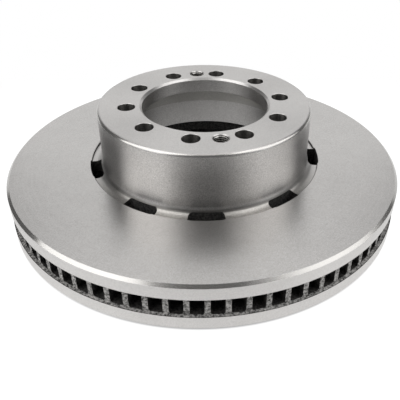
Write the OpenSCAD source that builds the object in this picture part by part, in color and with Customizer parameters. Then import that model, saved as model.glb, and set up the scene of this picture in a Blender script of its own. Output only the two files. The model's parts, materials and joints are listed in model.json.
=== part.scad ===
/* [Friction ring] */
// Outer diameter of the ring
disc_d = 377; // [350:1:430]
// Thickness over the two friction faces
ring_t = 45; // [40:0.5:54]
// Thickness of each friction plate
plate_t = 13.5; // [10:0.5:16]
// Bevel on the outer edge of each friction face
rim_bevel = 2.5; // [0.5:0.25:4]
// Width of the raw lip inside the lower friction face
lip_w = 4.5; // [3:0.5:7]
// Height of that lip above the lower friction face
lip_relief = 1.2; // [0.4:0.1:3]
// Rounding of the raw lip's upper edge
lip_round = 2; // [0.5:0.25:2.5]
// Bevel on the inner edge of the upper friction face
face_bevel = 0.8; // [0.3:0.1:1.4]

/* [Vanes] */
// Number of vanes
vane_count = 75; // [48:1:80]
// Thickness of a vane
vane_t = 4.4; // [3:0.2:5.4]
// Distance from the rim to the outer ends of the vanes
vane_recess = 3; // [1:0.5:12]
// Clear space from the windows to the inner ends of the vanes
vane_gap = 2.8; // [1:0.2:12]
// Fillet where a vane meets a plate
vane_fillet = 2.2; // [1:0.1:2.6]
// Angle of the first vane
vane_start = 1.2; // [0:0.1:4.8]

/* [Hat] */
// Height of the mounting face above the lower friction face
disc_h = 100.5; // [90:0.5:130]
// Outer diameter of the hat
hat_d = 202; // [196:1:212]
// Thickness of the bolting flange
flange_t = 15.3; // [11:0.1:20]
// Thickness of the hat's wall along its turned stretch
hat_wall = 14; // [10:0.5:16]
// Rounding of the mounting face's outer edge
hat_round = 1.8; // [0.4:0.2:4]
// Fillet inside the hat, under the flange
hat_fillet = 6; // [2:0.5:8]
// Height of the raw wall left between the flange and the turned stretch
raw_wall_h = 21.5; // [14:0.5:26]
// Step from the turned stretch in to the raw wall
raw_step = 1; // [0.4:0.1:2.5]

/* [Neck] */
// Thickness of the neck that joins the hat to the upper plate
neck_wall = 7; // [5:0.5:9]
// Step from the turned stretch out to the neck's inner wall
neck_step = 3; // [1:0.5:4]
// Height of the neck's raw inner wall
neck_h = 13; // [8:0.5:18]
// How far the neck hangs below the upper plate
neck_drop = 7.5; // [4:0.5:12]
// Fillet between the neck and the upper plate
neck_fillet = 2.5; // [1:0.25:3]
// Rounding of the neck's lower edges
neck_round = 1.5; // [0.5:0.25:2.25]

/* [Bore] */
// Diameter of the pilot bore
bore_d = 120; // [100:0.5:124]
// Bevel at the bore's upper mouth
bore_bevel = 2; // [0.5:0.25:3]
// Bevel at the bore's lower mouth
bore_low_bevel = 1; // [0.5:0.25:3]

/* [Groove and windows] */
// Width of the groove round the foot of the hat
groove_w = 10.8; // [9:0.1:16]
// Depth of the groove below the upper friction face
groove_depth = 2; // [1.6:0.1:4]
// Wide fillet that sweeps from the hat down to the groove's floor
groove_fillet = 7.5; // [3:0.25:8.5]
// Number of windows through the groove's floor
window_count = 9; // [3:1:12]
// Angle that a window spans
window_angle = 17; // [10:0.5:20]
// Radius of a window's corners
window_corner = 3; // [1:0.25:5]
// Radial distance from the hat's wall to a window
window_gap = 1.6; // [0.6:0.1:2.5]
// How far a window cuts past the groove's outer edge
window_over = 1.4; // [0.2:0.1:3]
// Angle of the first window
window_start = 36; // [0:1:40]

/* [Bolt holes] */
// Diameter of the bolt circle
bolt_pcd = 148; // [145:0.5:151]
// Number of bolt holes
bolt_count = 10; // [5:1:12]
// Diameter of a bolt hole
bolt_d = 16; // [10:0.5:17]
// Bevel at a bolt hole's mouth
bolt_bevel = 0.4; // [0.2:0.1:1.5]
// Angle of the first bolt hole
bolt_start = 8.5; // [0:0.5:36]

/* [Tapped holes] */
// Number of tapped holes for jacking screws, on the bolt circle
tap_count = 2; // [1:1:3]
// Nominal diameter of the thread, to which the hole is left open
tap_d = 14; // [8:0.5:15]
// Depth of the countersink at a tapped hole's mouth
tap_bevel = 0.8; // [0.2:0.1:1.5]
// Bolt holes passed before the first tapped hole, which lies half a pitch further on
tap_after = 2; // [0:1:4]

/* [Hidden] */
$fn = 96;

// Windows in the casting stray from an even pitch by these angles
window_shift = [0, 0, 0, 0, -1.5, 2, -6, -6.5, 0];

// Tapped holes stray from halfway between two bolt holes by these angles
tap_shift = [-2, 1.6];

// How far a cutter runs past a face, and a foot into what carries it
over = 1;

// Segments in each small arc and in each long arc of an outline
small_arc = 3;
long_arc = 8;

// Radii, from the axis out
bore_r = bore_d / 2;
hat_r = hat_d / 2;
turned_r = hat_r - hat_wall;
raw_r = turned_r - raw_step;
neck_in_r = turned_r + neck_step;
neck_r = neck_in_r + neck_wall;
face_in_r = hat_r + groove_w;
window_in_r = hat_r + window_gap;
window_out_r = face_in_r + window_over;
lip_r = face_in_r - lip_w;
vane_in_r = window_out_r + vane_gap;
disc_r = disc_d / 2;
vane_out_r = disc_r - vane_recess;

// Heights, from the lower friction face up
upper_z = ring_t - plate_t;
neck_z = upper_z - neck_drop;
turned_low_z = neck_z + neck_h;
groove_z = ring_t - groove_depth;
flange_z = disc_h - flange_t;
turned_top_z = flange_z - raw_wall_h;

// Angles
bolt_pitch = 360 / bolt_count;
tap_start = bolt_start + (tap_after + 0.5) * bolt_pitch;
vane_pitch = 360 / vane_count;
window_pitch = 360 / window_count;

// Point at a radius and an angle
function polar(r, a) = [r * cos(a), r * sin(a)];

// Points from one angle to another round a centre, both ends counted
function arc(centre, r, from, to, steps) =
    [for (i = [0:steps]) centre + polar(r, from + (to - from) * i / steps)];

// The same without its two ends
function open_arc(centre, r, from, to, steps) =
    [for (i = [1:steps - 1]) centre + polar(r, from + (to - from) * i / steps)];

// Corner of a section at p that a fillet of radius r fills, on the side that side names
module corner_web(p, r, side) {
    centre = p + r * side;
    start = p - over * side;
    difference() {
        translate([min(start.x, centre.x), min(start.y, centre.y)])
            square(r + over);
        translate(centre)
            circle(r);
    }
}

// Half section of the hat, its neck and the upper friction plate
module upper_section() {
    difference() {
        union() {
            polygon(concat(
                [
                    [bore_r, disc_h - bore_bevel],
                    [bore_r + bore_bevel, disc_h]
                ],
                arc([hat_r - hat_round, disc_h - hat_round], hat_round, 90, 0, small_arc),
                [
                    [hat_r, groove_z],
                    [face_in_r, groove_z],
                    [face_in_r, ring_t - face_bevel],
                    [face_in_r + face_bevel, ring_t],
                    [disc_r - rim_bevel, ring_t],
                    [disc_r, ring_t - rim_bevel],
                    [disc_r, upper_z],
                    [neck_r, upper_z],
                    [neck_r, neck_z],
                    [neck_in_r, neck_z],
                    [neck_in_r, turned_low_z],
                    [turned_r, turned_low_z],
                    [turned_r, turned_top_z],
                    [raw_r, turned_top_z],
                    [raw_r, flange_z],
                    [bore_r + bore_low_bevel, flange_z],
                    [bore_r, flange_z + bore_low_bevel]
                ]
            ));
            corner_web([hat_r, groove_z], groove_fillet, [1, 1]);
            corner_web([raw_r, flange_z], hat_fillet, [-1, -1]);
            corner_web([neck_r, upper_z], neck_fillet, [1, -1]);
        }
        corner_web([neck_r, neck_z], neck_round, [-1, 1]);
        corner_web([neck_in_r, neck_z], neck_round, [1, 1]);
    }
}

// Half section of the lower friction plate
module lower_section() {
    difference() {
        polygon([
            [lip_r, lip_relief],
            [face_in_r, lip_relief],
            [face_in_r, 0],
            [disc_r - rim_bevel, 0],
            [disc_r, rim_bevel],
            [disc_r, plate_t],
            [lip_r, plate_t]
        ]);
        corner_web([lip_r, plate_t], lip_round, [1, -1]);
    }
}

// Section across one vane, with its feet sunk in both plates
module vane_section() {
    half = vane_t / 2;
    sink = 0.15;
    foot = half + vane_fillet;
    low = plate_t + vane_fillet - sink;
    high = upper_z - vane_fillet + sink;
    polygon(concat(
        [[foot, plate_t - over]],
        arc([foot, low], vane_fillet, 270, 180, small_arc),
        arc([foot, high], vane_fillet, 180, 90, small_arc),
        [[foot, upper_z + over], [-foot, upper_z + over]],
        arc([-foot, high], vane_fillet, 90, 0, small_arc),
        arc([-foot, low], vane_fillet, 0, -90, small_arc),
        [[-foot, plate_t - over]]
    ));
}

// One vane along +X
module vane() {
    translate([vane_in_r, 0, 0])
        rotate([90, 0, 90])
            linear_extrude(vane_out_r - vane_in_r)
                vane_section();
}

// Outline of one window, centred on +X
module window_outline() {
    half = window_angle / 2;
    out_r = window_out_r - window_corner;
    in_r = window_in_r + window_corner;
    out_a = half - asin(window_corner / out_r);
    in_a = half - asin(window_corner / in_r);
    polygon(concat(
        open_arc([0, 0], window_out_r, -out_a, out_a, long_arc),
        arc(polar(out_r, out_a), window_corner, out_a, half + 90, small_arc),
        arc(polar(in_r, in_a), window_corner, half + 90, in_a + 180, small_arc),
        open_arc([0, 0], window_in_r, in_a, -in_a, long_arc),
        arc(polar(in_r, -in_a), window_corner, 180 - in_a, 270 - half, small_arc),
        arc(polar(out_r, -out_a), window_corner, 270 - half, 360 - out_a, small_arc)
    ));
}

// Cutter for one window, from above the groove's fillet down into the vent space
module window_cutter() {
    translate([0, 0, upper_z - over])
        linear_extrude(groove_z + groove_fillet - upper_z + 2 * over)
            window_outline();
}

// Cutter for a hole through the flange, with a bevelled mouth
module hole_cutter(r, bevel) {
    rotate_extrude()
        polygon([
            [0, flange_z - hat_fillet - over],
            [r, flange_z - hat_fillet - over],
            [r, disc_h - bevel],
            [r + bevel + over, disc_h + over],
            [0, disc_h + over]
        ]);
}

// A hole's cutter at an angle on the bolt circle
module on_bolt_circle(angle) {
    rotate(angle)
        translate([bolt_pcd / 2, 0, 0])
            children();
}

// Ventilated brake disc, cast in one piece and turned
module brake_disc() {
    color([0.72, 0.715, 0.705])
    union() {
        difference() {
            rotate_extrude()
                upper_section();
            for (i = [0:window_count - 1]) {
                shift = i < len(window_shift) ? window_shift[i] : 0;
                rotate(window_start + i * window_pitch + shift)
                    window_cutter();
            }
            for (i = [0:bolt_count - 1])
                on_bolt_circle(bolt_start + i * bolt_pitch)
                    hole_cutter(bolt_d / 2, bolt_bevel);
            for (i = [0:tap_count - 1]) {
                shift = i < len(tap_shift) ? tap_shift[i] : 0;
                on_bolt_circle(tap_start + i * 360 / tap_count + shift)
                    hole_cutter(tap_d / 2, tap_bevel);
            }
        }
        rotate_extrude()
            lower_section();
        for (i = [0:vane_count - 1])
            rotate(vane_start + i * vane_pitch)
                vane();
    }
}

brake_disc();
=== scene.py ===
import json
import math

import bmesh
import bpy
from mathutils import Euler, Matrix, Vector


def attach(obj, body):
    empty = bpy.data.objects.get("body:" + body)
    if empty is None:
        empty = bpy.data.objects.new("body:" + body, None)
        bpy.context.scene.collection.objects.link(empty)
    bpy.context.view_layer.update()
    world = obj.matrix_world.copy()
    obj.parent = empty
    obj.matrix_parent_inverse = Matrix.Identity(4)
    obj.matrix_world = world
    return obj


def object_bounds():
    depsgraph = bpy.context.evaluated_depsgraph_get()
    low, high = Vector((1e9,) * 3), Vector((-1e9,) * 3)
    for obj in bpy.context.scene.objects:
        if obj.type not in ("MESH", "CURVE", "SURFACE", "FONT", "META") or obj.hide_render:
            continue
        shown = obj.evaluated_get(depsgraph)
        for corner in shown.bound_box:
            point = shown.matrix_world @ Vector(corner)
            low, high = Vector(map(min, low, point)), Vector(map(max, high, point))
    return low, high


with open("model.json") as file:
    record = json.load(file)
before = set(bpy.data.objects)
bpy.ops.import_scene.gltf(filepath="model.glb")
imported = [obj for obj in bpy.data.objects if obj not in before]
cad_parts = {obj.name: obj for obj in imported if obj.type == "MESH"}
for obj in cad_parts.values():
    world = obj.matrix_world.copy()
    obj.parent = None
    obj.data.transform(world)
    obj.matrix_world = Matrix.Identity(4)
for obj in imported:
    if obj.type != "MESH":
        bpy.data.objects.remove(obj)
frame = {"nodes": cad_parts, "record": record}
cadLow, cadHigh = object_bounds()
discNode = frame["nodes"]["brake_disc"]
mounts = {mount["name"]: mount for mount in frame["record"]["mounts"]}
print("frame loaded: the cast disc")

mm = 0.001


# Small helpers

def linearColour(hexColour):
    channels = []
    for start in (1, 3, 5):
        value = int(hexColour[start:start + 2], 16) / 255
        channels.append(value / 12.92 if value <= 0.04045 else ((value + 0.055) / 1.055) ** 2.4)
    return (*channels, 1.0)


def addNode(tree, kind, settings=None, links=None):
    # Settings that are the node's own properties come before its input values
    node = tree.nodes.new(kind)
    for name, value in (settings or {}).items():
        if isinstance(name, int) or name in node.inputs:
            node.inputs[name].default_value = value
        else:
            setattr(node, name, value)
    for name, source in (links or {}).items():
        tree.links.new(source, node.inputs[name])
    return node


def newMaterial(name):
    material = bpy.data.materials.new(name)
    material.use_nodes = True
    material.node_tree.nodes.clear()
    return material, material.node_tree


def unionMask(tree, masks):
    total = masks[0]
    for mask in masks[1:]:
        total = addNode(tree, "ShaderNodeMath", {"operation": "MAXIMUM"}, {0: total, 1: mask}).outputs[0]
    return total


def layOver(tree, mask, below, above):
    # Above where the mask is 1, below elsewhere: two colours, as hex values or outputs, or two numbers
    isColour = any(isinstance(value, str) or getattr(value, "type", "") == "RGBA"
                   for value in (below, above))
    kind, sockets, result = ("RGBA", (6, 7), 2) if isColour else ("FLOAT", (2, 3), 0)
    settings, links = {"data_type": kind}, {0: mask}
    for socket, value in zip(sockets, (below, above)):
        if isinstance(value, str):
            settings[socket] = linearColour(value)
        elif isinstance(value, (int, float)):
            settings[socket] = value
        else:
            links[socket] = value
    return addNode(tree, "ShaderNodeMix", settings, links).outputs[result]


# Measures of the casting that the finishes follow, in millimetres: from the frame where it has them,
# and else as in the part's source

casting = {
    "rim": cadHigh[0] / mm,
    "rimBevel": 2.5,
    "upperFace": mounts["upper_friction_face"]["pos_m"][2] / mm,
    "plateThickness": 13.5,
    "lipHeight": 1.2,
    "faceInner": 111.8,
    "faceBevel": 0.8,
    "grooveFloor": 43.0,
    "filletRadius": 7.5,
    "windowInner": 102.6,
    "windowOuter": 113.2,
    "turnedLow": 37.0,
    "turnedTop": 63.7,
    "turnedWall": 87.0,
    "rawInner": 87.5,       # in the step from that wall out to the raw neck below it
    "flangeUnder": 85.2,
    "hatRadius": 101.0,
    "hatRound": 1.8,
    "bore": mounts["hub_bore"]["dims"]["r_mm"],
    "boreBevel": 2.0,
    "oxideInner": 61.1,     # just past the bevel at the bore's lower mouth
    "boltCircle": mounts["bolt_circle"]["dims"]["pcd_mm"] / 2,
    "boltHole": mounts["bolt_circle"]["dims"]["hole_r_mm"],
    "boltCount": mounts["bolt_circle"]["dims"]["count"],
    "boltFirst": 8.5,       # degrees
    "mountingFace": mounts["mounting_face"]["pos_m"][2] / mm,
    "vaneInset": 3.0,       # from the rim in to the vanes' ends
    "margin": 0.12,         # the mesh's chords leave the true surfaces by up to 0.11 mm
    "past": 1.0,            # how far a zone reaches past a surface into the air
}
casting["filletCentre"] = (casting["hatRadius"] + casting["filletRadius"],
                           casting["grooveFloor"] + casting["filletRadius"])


# Material: grey iron, sand cast, with its working faces turned on a lathe and left bare.
# Turned: an even satin grey with faint feed rings round the axis and a fine grain of graphite.
# Raw: speckled with the grit of the sand mould, without gloss, at its own grey only at the vane ends
# by the rim, and painted near black as shade further into the vent space, in the windows and neck
# and along the lower plate's outermost edge. The wall under the flange is raw too, but smooth and oxidised.
# Painted shade also darkens the hat's foot and the groove's floor in front, and the bolt holes' walls.
# Sizes are in millimetres.

ironLook = {
    "finishes": {
        "turned": {"shade": "#c0bebc", "colour": "#d1cfcd", "pattern": "worn", "roughness": 0.35},
        "face": {"shade": "#bcbab8", "colour": "#cdcbc9", "pattern": "worn", "roughness": 0.24},
        "chamfer": {"shade": "#bbb9b6", "colour": "#c3c1be", "pattern": "feed", "roughness": 0.24},
        "wall": {"shade": "#a8a6a4", "colour": "#dddbd9", "pattern": "wallGrain"},
        # The next two are painted shade on the hat's foot in front: lighter on the groove's floor, darker
        # above it
        "groove": {"shade": "#8b8985", "colour": "#bab7b3", "pattern": "wallGrain"},
        "foot": {"shade": "#615f5d", "colour": "#72706d", "pattern": "grain"},
        "oxide": {"shade": "#a6a4a0", "colour": "#bcbab6", "pattern": "grain", "roughness": 0.45},
        # The bolt holes' walls: rougher as drilled, and painted darker as the shade inside them
        "drilledAndShaded": {"shade": "#4d4b49", "colour": "#6f6d6a", "pattern": "grain", "roughness": 0.5},
        # The raw iron's own grey shows at the vane ends; the next is it painted near black as shade further
        # in
        "rawRim": {"shade": "#343332", "colour": "#cfcdca", "pattern": "grit"},
        "rawDeepShade": {"shade": "#040404", "colour": "#42403e", "pattern": "grit"},
    },
    # Graphite flakes and the sand's grains of 0.3 mm are drawn coarser, at about one and two pixels
    "noises": {
        "grain": {"size": 1.2, "detail": 3.0, "spread": (0.3, 0.7)},
        "wallGrain": {"size": 0.75, "detail": 2.0, "spread": (0.3, 0.7)},
        "grit": {"size": 2.0, "detail": 4.0, "spread": (0.38, 0.62)},
        "cloud": {"size": 22.0, "detail": 2.0, "spread": (0.35, 0.65)},
    },
    "cloudReach": 0.18,     # how far the clouds, where the tool wore, shift the turned faces' grain
    "grainRelief": 0.009,
    "wallRelief": 0.0396,   # of the grain on the hat's and the bore's walls
    "gritRelief": 0.25,
    "feedPitch": 1.6,       # the real feed is about 0.2 mm, drawn coarser so that it shows
    "feedStreaks": 0.9,
    "feedRelief": 0.004,
    "boreRelief": 0.1,      # of the coarser turning inside the hat
    "feedSpread": (0.3, 0.7),
    "feedGloss": (0.93, 1.07),      # the feed rings change the roughness by these factors
    "markedness": 0.8,
    "markTurn": 0.25,       # of a whole turn
    "rawMetal": 0.4,
    "rawRoughness": 0.65,
    "paleFrom": 184.9,      # radius out from which the raw iron leaves its painted shade for its own paler grey
    "edgeShadowFrom": 187.9,      # radius from which a painted shadow darkens the lower plate's raw edge
    "footSpan": (6.0, 3.2),         # the hat's foot is painted darker, as shade, between these heights over the groove's floor,
    "footEnd": (1.5, 2.4),          # is at its darkest down to these, above lighter painted shade on the groove's floor,
    "footFront": (-20.0, -80.0),    # and only in front, from none to full between these places
    "edgeRound": 3.0,       # radius to which the hat's edge looks worn round
}


def whereOn(tree):
    # A point's place on the casting, its radius and height, and the directions out of and round the axis
    place = addNode(tree, "ShaderNodeTexCoord").outputs["Object"]
    axes = addNode(tree, "ShaderNodeSeparateXYZ", links={0: place})
    flat = addNode(tree, "ShaderNodeVectorMath", {"operation": "MULTIPLY", 1: (1, 1, 0)},
                   {0: place}).outputs[0]
    radius = addNode(tree, "ShaderNodeVectorMath", {"operation": "LENGTH"}, {0: flat}).outputs["Value"]
    outward = addNode(tree, "ShaderNodeVectorMath", {"operation": "NORMALIZE"}, {0: flat}).outputs[0]
    around = addNode(tree, "ShaderNodeVectorMath", {"operation": "CROSS_PRODUCT", 0: (0, 0, 1)},
                     {1: outward}).outputs[0]
    return {"place": place, "forward": axes.outputs["Y"], "height": axes.outputs["Z"],
            "radius": radius, "outward": outward, "around": around}


def zoneMask(tree, radius, height, inner, outer, low, high):
    # 1 inside a ring of the casting between two radii and two heights, in millimetres
    mask = None
    for source, test, limit in ((radius, "GREATER_THAN", inner), (radius, "LESS_THAN", outer),
                                (height, "GREATER_THAN", low), (height, "LESS_THAN", high)):
        side = addNode(tree, "ShaderNodeMath", {"operation": test, 1: limit * mm}, {0: source}).outputs[0]
        if mask is not None:
            side = addNode(tree, "ShaderNodeMath", {"operation": "MULTIPLY"}, {0: mask, 1: side}).outputs[0]
        mask = side
    return mask


def castingRings(sizes):
    # The rings that make up each zone: inner and outer radius, then lowest and highest place
    margin, past = sizes["margin"], sizes["past"]
    rimEdge = sizes["rim"] - sizes["rimBevel"]
    hatEdge = sizes["hatRadius"] - sizes["hatRound"]
    hatTop = sizes["mountingFace"] - sizes["hatRound"]
    windowOuter = sizes["windowOuter"] + margin
    return {
        "raw": (
            (0, sizes["rim"] - margin,
             sizes["plateThickness"] - margin, sizes["upperFace"] - sizes["plateThickness"] + margin),
            (sizes["rawInner"], windowOuter, sizes["lipHeight"] - margin, sizes["turnedLow"] + margin),
            (sizes["filletCentre"][0] - margin, windowOuter,
             sizes["turnedLow"], sizes["grooveFloor"] - margin),
            (sizes["faceInner"] + sizes["faceBevel"], windowOuter,
             sizes["turnedLow"], sizes["upperFace"] - margin),
            (sizes["faceInner"] - margin, sizes["faceInner"] + sizes["faceBevel"] / 2,
             sizes["grooveFloor"] + margin, sizes["upperFace"] - sizes["faceBevel"] / 2),
        ),
        "oxide": (
            (sizes["oxideInner"], sizes["turnedWall"] - margin,
             sizes["turnedTop"] + margin, sizes["flangeUnder"] + margin),
        ),
        "boreWall": (
            (sizes["bore"] - past, sizes["turnedWall"] + margin,
             sizes["turnedLow"], sizes["mountingFace"] - sizes["boreBevel"]),
        ),
        "hatWall": (
            (sizes["hatRadius"] - margin, sizes["windowInner"], sizes["upperFace"], hatTop),
        ),
        "foot": (
            (sizes["hatRadius"] - margin, sizes["faceInner"] + margin,
             sizes["turnedLow"], sizes["mountingFace"]),
        ),
        "face": (
            (sizes["faceInner"], rimEdge, sizes["upperFace"] - margin, sizes["upperFace"] + past),
        ),
        "chamfer": (
            (rimEdge + margin, sizes["rim"] + past,
             sizes["upperFace"] - sizes["rimBevel"] + margin, sizes["upperFace"] - margin),
            (rimEdge + margin, sizes["rim"] + past, margin, sizes["rimBevel"] - margin),
            (hatEdge + margin, sizes["hatRadius"] + past, hatTop + margin, sizes["mountingFace"] - margin),
        ),
    }


def windowWalls(tree, at, sizes):
    # 1 on the windows' walls under the groove's fillet, which lie farther from its centre than its radius
    margin = sizes["margin"]
    across = addNode(tree, "ShaderNodeCombineXYZ", links={0: at["radius"], 1: at["height"]}).outputs[0]
    centre = tuple(value * mm for value in sizes["filletCentre"])
    reach = addNode(tree, "ShaderNodeVectorMath", {"operation": "DISTANCE", 1: (*centre, 0)},
                    {0: across}).outputs["Value"]
    below = addNode(tree, "ShaderNodeMath", {
        "operation": "GREATER_THAN", 1: (sizes["filletRadius"] + 2 * margin) * mm}, {0: reach}).outputs[0]
    ring = zoneMask(tree, at["radius"], at["height"], sizes["windowInner"] - 2 * margin,
                    sizes["filletCentre"][0], sizes["turnedLow"], sizes["filletCentre"][1])
    return addNode(tree, "ShaderNodeMath", {"operation": "MULTIPLY"}, {0: below, 1: ring}).outputs[0]


def boltHoles(tree, at, sizes):
    # 1 on the walls of the bolt holes: the place is turned back by whole pitches to the first hole
    pitch = math.tau / sizes["boltCount"]
    first = math.radians(sizes["boltFirst"])
    axes = addNode(tree, "ShaderNodeSeparateXYZ", links={0: at["place"]})
    angle = addNode(tree, "ShaderNodeMath", {"operation": "ARCTAN2"},
                    {0: axes.outputs["Y"], 1: axes.outputs["X"]}).outputs[0]
    angle = addNode(tree, "ShaderNodeMath", {"operation": "SUBTRACT", 1: first - pitch / 2},
                    {0: angle}).outputs[0]
    holes = addNode(tree, "ShaderNodeMath", {"operation": "DIVIDE", 1: pitch}, {0: angle}).outputs[0]
    holes = addNode(tree, "ShaderNodeMath", {"operation": "FLOOR"}, {0: holes}).outputs[0]
    turn = addNode(tree, "ShaderNodeMath", {"operation": "MULTIPLY_ADD", 1: -pitch, 2: -first},
                   {0: holes}).outputs[0]
    turned = addNode(tree, "ShaderNodeVectorRotate", {"rotation_type": "Z_AXIS"},
                     {"Vector": at["place"], "Angle": turn}).outputs[0]
    across = addNode(tree, "ShaderNodeVectorMath", {"operation": "MULTIPLY", 1: (1, 1, 0)},
                     {0: turned}).outputs[0]
    reach = addNode(tree, "ShaderNodeVectorMath", {
        "operation": "DISTANCE", 1: (sizes["boltCircle"] * mm, 0, 0)}, {0: across}).outputs["Value"]
    return zoneMask(tree, reach, at["height"], 0, sizes["boltHole"] + sizes["margin"],
                    sizes["flangeUnder"] + sizes["margin"], sizes["mountingFace"])


def ironZones(tree, at, settings, sizes):
    # A mask for each finish; raw is all that the lathe never reached, but for the wall under the flange
    zones = {}
    for name, rings in castingRings(sizes).items():
        zones[name] = unionMask(tree, [zoneMask(tree, at["radius"], at["height"], *ring) for ring in rings])
    zones["raw"] = unionMask(tree, [zones["raw"], windowWalls(tree, at, sizes)])
    zones["wall"] = unionMask(tree, [zones["hatWall"], zones["boreWall"]])
    # The bolt holes' walls, rougher and painted darker as shade
    zones["drilledAndShaded"] = boltHoles(tree, at, sizes)
    # Painted shade on the hat's foot: between two heights over the groove's floor, and only in front
    for name, source, base in (("footSpan", at["height"], sizes["grooveFloor"]),
                               ("footEnd", at["height"], sizes["grooveFloor"]),
                               ("footFront", at["forward"], 0)):
        start, end = settings[name]
        zones[name] = addNode(tree, "ShaderNodeMapRange", {
            "interpolation_type": "SMOOTHSTEP", "From Min": (base + start) * mm,
            "From Max": (base + end) * mm}, {"Value": source}).outputs[0]
    for name in ("footSpan", "footFront"):
        zones["foot"] = addNode(tree, "ShaderNodeMath", {"operation": "MULTIPLY"},
                                {0: zones["foot"], 1: zones[name]}).outputs[0]
    return zones


def spreadNoise(tree, place, noise):
    # Noise of a grain size in millimetres, with the middle of its range spread out over 0 to 1
    low, high = noise["spread"]
    pattern = addNode(tree, "ShaderNodeTexNoise", {
        "Scale": 1 / (noise["size"] * mm), "Detail": noise["detail"], "Roughness": 0.7},
        {"Vector": place}).outputs[0]
    return addNode(tree, "ShaderNodeMapRange", {"From Min": low, "From Max": high},
                   {"Value": pattern}).outputs[0]


def feedRings(tree, at, settings):
    # Noise stretched round the axis and read along radius plus height
    along = addNode(tree, "ShaderNodeMath", {"operation": "ADD"},
                    {0: at["radius"], 1: at["height"]}).outputs[0]
    along = addNode(tree, "ShaderNodeMath", {"operation": "MULTIPLY", 1: 1 / (settings["feedPitch"] * mm)},
                    {0: along}).outputs[0]
    turn = addNode(tree, "ShaderNodeVectorMath", {"operation": "SCALE", "Scale": settings["feedStreaks"]},
                   {0: at["outward"]}).outputs[0]
    turn = addNode(tree, "ShaderNodeSeparateXYZ", links={0: turn})
    ringPlace = addNode(tree, "ShaderNodeCombineXYZ", links={
        0: turn.outputs["X"], 1: turn.outputs["Y"], 2: along}).outputs[0]
    return addNode(tree, "ShaderNodeTexNoise", {"Scale": 1.0, "Detail": 2.0, "Roughness": 0.6},
                   {"Vector": ringPlace}).outputs[0]


def ironPatterns(tree, at, settings, sizes):
    patterns = {"feed": feedRings(tree, at, settings)}
    for name, noise in settings["noises"].items():
        patterns[name] = spreadNoise(tree, at["place"], noise)
    wear = addNode(tree, "ShaderNodeMath", {
        "operation": "MULTIPLY_ADD", 1: settings["cloudReach"], 2: -settings["cloudReach"] / 2},
        {0: patterns["cloud"]}).outputs[0]
    patterns["worn"] = addNode(tree, "ShaderNodeMath", {"operation": "ADD", "use_clamp": True},
                               {0: patterns["grain"], 1: wear}).outputs[0]
    # The raw iron's own grey at the vane ends; near-black painted shade further in and on the plate's outer
    # edge
    pale = addNode(tree, "ShaderNodeMapRange", {
        "interpolation_type": "SMOOTHSTEP", "From Min": settings["paleFrom"] * mm,
        "From Max": (sizes["rim"] - sizes["vaneInset"]) * mm}, {"Value": at["radius"]}).outputs[0]
    edge = addNode(tree, "ShaderNodeMath", {"operation": "LESS_THAN", 1: settings["edgeShadowFrom"] * mm},
                   {0: at["radius"]}).outputs[0]
    patterns["pale"] = addNode(tree, "ShaderNodeMath", {"operation": "MULTIPLY"},
                               {0: pale, 1: edge}).outputs[0]
    return patterns


def ironColour(tree, zones, patterns, settings):
    colours = {}
    for name, finish in settings["finishes"].items():
        colours[name] = layOver(tree, patterns[finish["pattern"]], finish["shade"], finish["colour"])
    # The painted shade is lighter over the groove's floor than on the foot above it
    colours["foot"] = layOver(tree, zones["footEnd"], colours["groove"], colours["foot"])
    # Raw iron: painted shade, near black, but for its own grey at the vane ends
    colours["raw"] = layOver(tree, patterns["pale"], colours["rawDeepShade"], colours["rawRim"])
    colour = colours["turned"]
    for name in ("face", "wall", "foot", "chamfer", "oxide", "drilledAndShaded", "raw"):
        colour = layOver(tree, zones[name], colour, colours[name])
    return colour


def ironGloss(tree, zones, patterns, settings):
    finishes = settings["finishes"]
    rough = finishes["turned"]["roughness"]
    for name in ("chamfer", "face"):
        rough = layOver(tree, zones[name], rough, finishes[name]["roughness"])
    (low, high), (smooth, coarse) = settings["feedSpread"], settings["feedGloss"]
    feedShare = addNode(tree, "ShaderNodeMapRange", {
        "From Min": low, "From Max": high, "To Min": smooth, "To Max": coarse},
        {"Value": patterns["feed"]}).outputs[0]
    rough = addNode(tree, "ShaderNodeMath", {"operation": "MULTIPLY"}, {0: rough, 1: feedShare}).outputs[0]
    for name in ("oxide", "drilledAndShaded"):
        rough = layOver(tree, zones[name], rough, finishes[name]["roughness"])
    return layOver(tree, zones["raw"], rough, settings["rawRoughness"])


def ironRelief(tree, zones, patterns, settings):
    # In millimetres: grain and feed rings where it was turned, grit where it is raw, none on the chamfers
    grainRelief = layOver(tree, zones["wall"], settings["grainRelief"], settings["wallRelief"])
    grainRelief = layOver(tree, zones["chamfer"], grainRelief, 0.0)
    feedRelief = layOver(tree, zones["boreWall"], settings["feedRelief"], settings["boreRelief"])
    feedRelief = addNode(tree, "ShaderNodeMath", {"operation": "MULTIPLY"},
                         {0: patterns["feed"], 1: feedRelief}).outputs[0]
    feedRelief = layOver(tree, zones["chamfer"], feedRelief, 0.0)
    turnedRelief = addNode(tree, "ShaderNodeMath", {"operation": "MULTIPLY_ADD"},
                           {0: patterns["grain"], 1: grainRelief, 2: feedRelief}).outputs[0]
    rawRelief = addNode(tree, "ShaderNodeMath", {"operation": "MULTIPLY", 1: settings["gritRelief"]},
                        {0: patterns["grit"]}).outputs[0]
    return layOver(tree, zones["raw"], turnedRelief, rawRelief)


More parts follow.
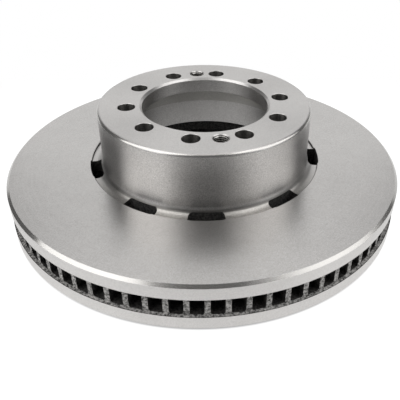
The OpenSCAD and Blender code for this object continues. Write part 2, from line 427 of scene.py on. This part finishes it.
def wornEdge(tree, at, normal, settings, sizes):
    # The hat's edge is worn rounder than the casting's: there the normal points away from a ring inside it
    ringRadius = sizes["hatRadius"] - settings["edgeRound"]
    ringHeight = sizes["mountingFace"] - settings["edgeRound"]
    edge = zoneMask(tree, at["radius"], at["height"], ringRadius, sizes["hatRadius"] + sizes["past"],
                    ringHeight, sizes["mountingFace"] + sizes["past"])
    ring = addNode(tree, "ShaderNodeVectorMath", {"operation": "SCALE", "Scale": ringRadius * mm},
                   {0: at["outward"]}).outputs[0]
    ring = addNode(tree, "ShaderNodeVectorMath", {"operation": "ADD", 1: (0, 0, ringHeight * mm)},
                   {0: ring}).outputs[0]
    away = addNode(tree, "ShaderNodeVectorMath", {"operation": "SUBTRACT"},
                   {0: at["place"], 1: ring}).outputs[0]
    away = addNode(tree, "ShaderNodeVectorMath", {"operation": "NORMALIZE"}, {0: away}).outputs[0]
    away = addNode(tree, "ShaderNodeVectorTransform", {
        "vector_type": "NORMAL", "convert_from": "OBJECT", "convert_to": "WORLD"}, {0: away}).outputs[0]
    return addNode(tree, "ShaderNodeMix", {"data_type": "VECTOR"},
                   {0: edge, 4: normal, 5: away}).outputs[1]


def greyIron(settings, sizes):
    material, tree = newMaterial("greyIronSandCastAndTurned")
    at = whereOn(tree)
    zones = ironZones(tree, at, settings, sizes)
    patterns = ironPatterns(tree, at, settings, sizes)
    normal = addNode(tree, "ShaderNodeBump", {"Strength": 1.0, "Distance": mm},
                     {"Height": ironRelief(tree, zones, patterns, settings)}).outputs[0]
    # The tool's marks run round the axis, so reflections are drawn out across them
    iron = addNode(tree, "ShaderNodeBsdfPrincipled", {
        "Anisotropic": settings["markedness"], "Anisotropic Rotation": settings["markTurn"]}, {
        "Base Color": ironColour(tree, zones, patterns, settings),
        "Metallic": layOver(tree, zones["raw"], 1.0, settings["rawMetal"]),
        "Roughness": ironGloss(tree, zones, patterns, settings),
        "Normal": wornEdge(tree, at, normal, settings, sizes),
        "Tangent": at["around"]})
    addNode(tree, "ShaderNodeOutputMaterial", links={"Surface": iron.outputs[0]})
    return material


# Material: the same iron as a tap leaves it, torn in patches on its bright crests, with painted shade
# darkening the flanks towards the roots

threadLook = {
    "crestColour": "#e2e0dc",
    "tornColour": "#b5b2ae",
    "flankShadeColour": "#4c4a48",
    "crestSpan": (0.45, 0.85),      # shares of the ridge's height over which the flank turns to crest
    "tearSize": 0.6,        # millimetres
    "tearSpread": (0.35, 0.6),
    "tearRelief": 0.1,      # millimetres
    "tearStrength": 0.2,
    "roughness": 0.3,
}


def tappedIron(settings):
    material, tree = newMaterial("greyIronTapped")
    place = addNode(tree, "ShaderNodeTexCoord").outputs["Object"]
    tear = addNode(tree, "ShaderNodeTexNoise",
                   {"Scale": 1 / (settings["tearSize"] * mm), "Detail": 3.0}, {"Vector": place}).outputs[0]
    low, high = settings["tearSpread"]
    torn = addNode(tree, "ShaderNodeMapRange", {"From Min": low, "From Max": high},
                   {"Value": tear}).outputs[0]
    low, high = settings["crestSpan"]
    crest = addNode(tree, "ShaderNodeAttribute", {"attribute_name": "crest"}).outputs["Fac"]
    crest = addNode(tree, "ShaderNodeMapRange", {
        "interpolation_type": "SMOOTHSTEP", "From Min": low, "From Max": high}, {"Value": crest}).outputs[0]
    crestColour = layOver(tree, torn, settings["tornColour"], settings["crestColour"])
    # Painted shade: the flanks darken towards the roots of the ridge
    colour = layOver(tree, crest, settings["flankShadeColour"], crestColour)
    bump = addNode(tree, "ShaderNodeBump", {
        "Strength": settings["tearStrength"], "Distance": settings["tearRelief"] * mm},
        {"Height": tear}).outputs[0]
    metal = addNode(tree, "ShaderNodeBsdfPrincipled", {"Metallic": 1.0, "Roughness": settings["roughness"]},
                    {"Base Color": colour, "Normal": bump})
    addNode(tree, "ShaderNodeOutputMaterial", links={"Surface": metal.outputs[0]})
    return material


discNode.data.materials.clear()
discNode.data.materials.append(greyIron(ironLook, casting))
print("iron finished")


# Threads of the two tapped holes, in millimetres: one ridge wound up each wall

jackThread = {
    "holes": {"jackThreadBack": "jack_hole_back", "jackThreadFront": "jack_hole_front"},
    "pitch": 2.0,
    "crestRadius": 6.0,
    "rootRadius": mounts["jack_hole_back"]["dims"]["r_mm"] + 0.15,      # into the wall, so that no gap shows
    "rootWidth": 1.75,
    "crestWidth": 0.5,
    "low": casting["flangeUnder"] + 0.1,
    "turns": 6.5,
    "stepsPerTurn": 32,
    "mouthRadius": 7.8,
    "mouthHeight": casting["mountingFace"],
}


def ridgeCorners(centre, settings):
    # The four corners of the ridge's section at each step round the wall, with their radii, in millimetres
    section = (
        (settings["rootRadius"], -settings["rootWidth"] / 2),
        (settings["crestRadius"], -settings["crestWidth"] / 2),
        (settings["crestRadius"], settings["crestWidth"] / 2),
        (settings["rootRadius"], settings["rootWidth"] / 2),
    )
    for step in range(int(settings["turns"] * settings["stepsPerTurn"]) + 1):
        turns = step / settings["stepsPerTurn"]
        angle = math.tau * turns
        middle = settings["low"] + settings["rootWidth"] / 2 + turns * settings["pitch"]
        corners = []
        for radius, offset in section:
            # At the mouth the ridge is cut back to the countersink, a cone of 45 degrees
            height = middle + offset
            least = settings["mouthRadius"] - (settings["mouthHeight"] - height)
            radius = max(radius, min(least, settings["rootRadius"]))
            corners.append((radius, (centre[0] + radius * math.cos(angle),
                                     centre[1] + radius * math.sin(angle), height)))
        yield corners


def buildThread(name, centre, settings, material):
    shape = bmesh.new()
    crest = shape.verts.layers.float.new("crest")
    ridgeHeight = settings["rootRadius"] - settings["crestRadius"]
    rings = []
    for corners in ridgeCorners(centre, settings):
        ring = []
        for radius, place in corners:
            vert = shape.verts.new([value * mm for value in place])
            vert[crest] = (settings["rootRadius"] - radius) / ridgeHeight
            ring.append(vert)
        rings.append(ring)
    for ring, following in zip(rings, rings[1:]):
        for side in range(len(ring)):
            shape.faces.new((ring[side - 1], ring[side], following[side], following[side - 1]))
    shape.faces.new(rings[0])
    shape.faces.new(rings[-1])
    bmesh.ops.recalc_face_normals(shape, faces=shape.faces)
    mesh = bpy.data.meshes.new(name)
    shape.to_mesh(mesh)
    shape.free()
    mesh.materials.append(material)
    thread = bpy.data.objects.new(name, mesh)
    bpy.context.collection.objects.link(thread)
    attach(thread, "root")


threadIron = tappedIron(threadLook)
for threadName, holeName in jackThread["holes"].items():
    holeCentre = [value / mm for value in mounts[holeName]["pos_m"][:2]]
    buildThread(threadName, holeCentre, jackThread, threadIron)
print("threads cut")


# Floor, world and lamps, in metres and degrees

studio = {
    "floorSize": 0.6,       # a table top, past which the pale room shows
    "floorColour": "#f2f2f2",
    "floorGlow": 0.91,      # of white, for what sees the floor as background
    "floorShade": 0.25,     # share of the plain floor, with its shadows, left in that
    "contactShadow": (0.1845, 0.1893),    # radii over which the glow starts, leaving a painted contact shadow under the disc's edge
    "innerGlow": 0.75,      # under the hat, where light falls in through the bore,
    "innerSpan": (0.045, 0.075),    # between these radii,
    "innerLean": -10.0,     # and brighter on the left, as a change per metre
    "darkLevel": 0.15,
    "backLevel": 0.92,
    "backSpan": (0.84, 0.91),       # cosines of the angles off the back at which it starts and is full
    "lowSpan": (0.25, 0.05),        # sines of the heights between which it spreads wider,
    "lowSpread": (0.33, 0.08),      # by this much of those cosines, and more to the right
    "topLevel": 1.04,
    "topSpan": (0.86, 0.92),        # sines of the heights at which the light overhead starts and is full
    "boxDistance": 1.5,
    "boxHeight": 1.6,
    "boxRise": 42.0,        # above the floor
    "leftBox": {"span": (-97.0, -33.0), "lean": 0.0, "level": 2.01},
    "rightBox": {"span": (41.0, 106.5), "lean": 18.0, "level": 1.74},
}


def backgroundRays(tree):
    seen = addNode(tree, "ShaderNodeLightPath")
    return seen.outputs["Is Camera Ray"], seen.outputs["Is Glossy Ray"], seen.outputs["Is Transmission Ray"]


def floorLight(tree, settings):
    # The glow starts at the disc's edge, leaving a painted contact shadow under it, and a fainter one lies
    # under the bore
    place = addNode(tree, "ShaderNodeTexCoord").outputs["Object"]
    reach = addNode(tree, "ShaderNodeVectorMath", {"operation": "LENGTH"}, {0: place}).outputs["Value"]
    start, end = settings["contactShadow"]
    outside = addNode(tree, "ShaderNodeMapRange", {
        "interpolation_type": "SMOOTHSTEP", "From Min": start, "From Max": end},
        {"Value": reach}).outputs[0]
    outside = addNode(tree, "ShaderNodeMath", {
        "operation": "MULTIPLY", 1: settings["floorGlow"] / (1 - settings["floorShade"])},
        {0: outside}).outputs[0]
    start, end = settings["innerSpan"]
    inside = addNode(tree, "ShaderNodeMapRange", {
        "interpolation_type": "SMOOTHSTEP", "From Min": start, "From Max": end,
        "To Min": 1.0, "To Max": 0.0}, {"Value": reach}).outputs[0]
    across = addNode(tree, "ShaderNodeSeparateXYZ", links={0: place}).outputs["X"]
    lean = addNode(tree, "ShaderNodeMath", {
        "operation": "MULTIPLY_ADD", 1: settings["innerGlow"] * settings["innerLean"],
        2: settings["innerGlow"]}, {0: across}).outputs[0]
    return addNode(tree, "ShaderNodeMath", {"operation": "MULTIPLY_ADD"},
                   {0: inside, 1: lean, 2: outside}).outputs[0]


def whiteFloor(settings):
    material, tree = newMaterial("studioFloorWhitePaint")
    material.cycles.emission_sampling = "NONE"      # the glow is a background, so it is no lamp
    plain = addNode(tree, "ShaderNodeBsdfDiffuse", {"Color": linearColour(settings["floorColour"])})
    glow = addNode(tree, "ShaderNodeEmission", links={"Strength": floorLight(tree, settings)})
    pale = addNode(tree, "ShaderNodeMixShader", {0: 1 - settings["floorShade"]},
                   {1: plain.outputs[0], 2: glow.outputs[0]})
    shown = unionMask(tree, backgroundRays(tree))
    both = addNode(tree, "ShaderNodeMixShader", links={0: shown, 1: plain.outputs[0], 2: pale.outputs[0]})
    addNode(tree, "ShaderNodeOutputMaterial", links={"Surface": both.outputs[0]})
    return material


def buildFloor(settings):
    mesh = bpy.data.meshes.new("studioFloor")
    shape = bmesh.new()
    bmesh.ops.create_grid(shape, x_segments=1, y_segments=1, size=settings["floorSize"] / 2)
    shape.to_mesh(mesh)
    shape.free()
    floor = bpy.data.objects.new("studioFloor", mesh)
    bpy.context.collection.objects.link(floor)
    mesh.materials.append(whiteFloor(settings))


def roomLight(tree, settings):
    # A pale wall at the back, wider near the floor, a light overhead and a darker side behind the camera
    direction = addNode(tree, "ShaderNodeTexCoord").outputs["Generated"]
    rise = addNode(tree, "ShaderNodeSeparateXYZ", links={0: direction}).outputs["Z"]
    compass = addNode(tree, "ShaderNodeVectorMath", {"operation": "MULTIPLY", 1: (1, 1, 0)},
                      {0: direction}).outputs[0]
    compass = addNode(tree, "ShaderNodeVectorMath", {"operation": "NORMALIZE"}, {0: compass}).outputs[0]
    compass = addNode(tree, "ShaderNodeSeparateXYZ", links={0: compass})
    width, tilt = settings["lowSpread"]
    spread = addNode(tree, "ShaderNodeMath", {"operation": "MULTIPLY_ADD", 1: tilt, 2: width},
                     {0: compass.outputs["X"]}).outputs[0]
    start, end = settings["lowSpan"]
    low = addNode(tree, "ShaderNodeMapRange", {
        "interpolation_type": "SMOOTHSTEP", "From Min": start, "From Max": end}, {"Value": rise}).outputs[0]
    toBack = addNode(tree, "ShaderNodeMath", {"operation": "MULTIPLY_ADD"},
                     {0: spread, 1: low, 2: compass.outputs["Y"]}).outputs[0]
    start, end = settings["backSpan"]
    back = addNode(tree, "ShaderNodeMapRange", {
        "interpolation_type": "SMOOTHSTEP", "From Min": start, "From Max": end,
        "To Min": settings["darkLevel"], "To Max": settings["backLevel"]}, {"Value": toBack}).outputs[0]
    start, end = settings["topSpan"]
    top = addNode(tree, "ShaderNodeMapRange", {
        "interpolation_type": "SMOOTHSTEP", "From Min": start, "From Max": end,
        "To Min": 0.0, "To Max": settings["topLevel"]}, {"Value": rise}).outputs[0]
    return unionMask(tree, (back, top))


def buildWorld(settings):
    world = bpy.data.worlds.new("paleStudio")
    world.use_nodes = True
    tree = world.node_tree
    tree.nodes.clear()
    bpy.context.scene.world = world
    # The camera sees plain white, and reflections see the room
    camera, _, transmission = backgroundRays(tree)
    seen = unionMask(tree, (camera, transmission))
    level = layOver(tree, seen, roomLight(tree, settings), 1.0)
    light = addNode(tree, "ShaderNodeBackground", {"Color": (1, 1, 1, 1)}, {"Strength": level})
    addNode(tree, "ShaderNodeOutputWorld", links={"Surface": light.outputs[0]})


def buildSoftBox(name, box, settings):
    # A tall soft box on one side of the camera, between two compass angles seen from the disc
    span = box["span"]
    middle = math.radians(sum(span) / 2)
    rise = math.radians(settings["boxRise"])
    reach = settings["boxDistance"]
    ahead = Vector((math.sin(middle) * math.cos(rise), -math.cos(middle) * math.cos(rise), math.sin(rise)))
    lamp = bpy.data.lights.new(name, "AREA")
    lamp.shape = "RECTANGLE"
    lamp.size = 2 * reach * math.cos(rise) * math.tan(math.radians(span[1] - span[0]) / 2)
    lamp.size_y = settings["boxHeight"]
    lamp.energy = box["level"] * math.pi * lamp.size * lamp.size_y
    holder = bpy.data.objects.new(name, lamp)
    bpy.context.collection.objects.link(holder)
    holder.location = ahead * reach
    aim = (-ahead).to_track_quat("-Z", "Y") @ Euler((0, 0, math.radians(box["lean"]))).to_quaternion()
    holder.rotation_euler = aim.to_euler()
    holder.visible_camera = False


buildFloor(studio)
buildWorld(studio)
buildSoftBox("softBoxLeft", studio["leftBox"], studio)
buildSoftBox("softBoxRight", studio["rightBox"], studio)
print("studio lit")


# Camera

photoCamera = {
    "place": (0.0, -446.475, 302.319),      # millimetres
    "focalPixels": 507.285,     # focal length in pixels of the photo's frame
    "framePixels": 400,
    "sensor": 36.0,
    "turn": 3.798,          # degrees, as the next two
    "tilt": 32.551,
    "roll": 1.32,
    "shift": (-0.0859, -0.0612),
    "nearest": 0.01,
}


def buildCamera(settings):
    turn, tilt, roll = (math.radians(settings[name]) for name in ("turn", "tilt", "roll"))
    ahead = Vector((math.sin(turn) * math.cos(tilt), math.cos(turn) * math.cos(tilt), -math.sin(tilt)))
    side = Vector((math.cos(turn), -math.sin(turn), 0))
    up = side.cross(ahead)
    rolledSide = side * math.cos(roll) + up * math.sin(roll)
    rolledUp = up * math.cos(roll) - side * math.sin(roll)
    camera = bpy.data.cameras.new("photoCamera")
    camera.sensor_width = settings["sensor"]
    camera.lens = settings["focalPixels"] / settings["framePixels"] * settings["sensor"]
    camera.shift_x, camera.shift_y = settings["shift"]
    camera.clip_start = settings["nearest"]
    holder = bpy.data.objects.new("photoCamera", camera)
    bpy.context.collection.objects.link(holder)
    frameAxes = Matrix((rolledSide, rolledUp, -ahead)).transposed().to_4x4()
    holder.matrix_world = Matrix.Translation(Vector(settings["place"]) * mm) @ frameAxes
    bpy.context.scene.camera = holder


buildCamera(photoCamera)
bpy.context.scene.view_settings.view_transform = "Standard"
print("camera placed")
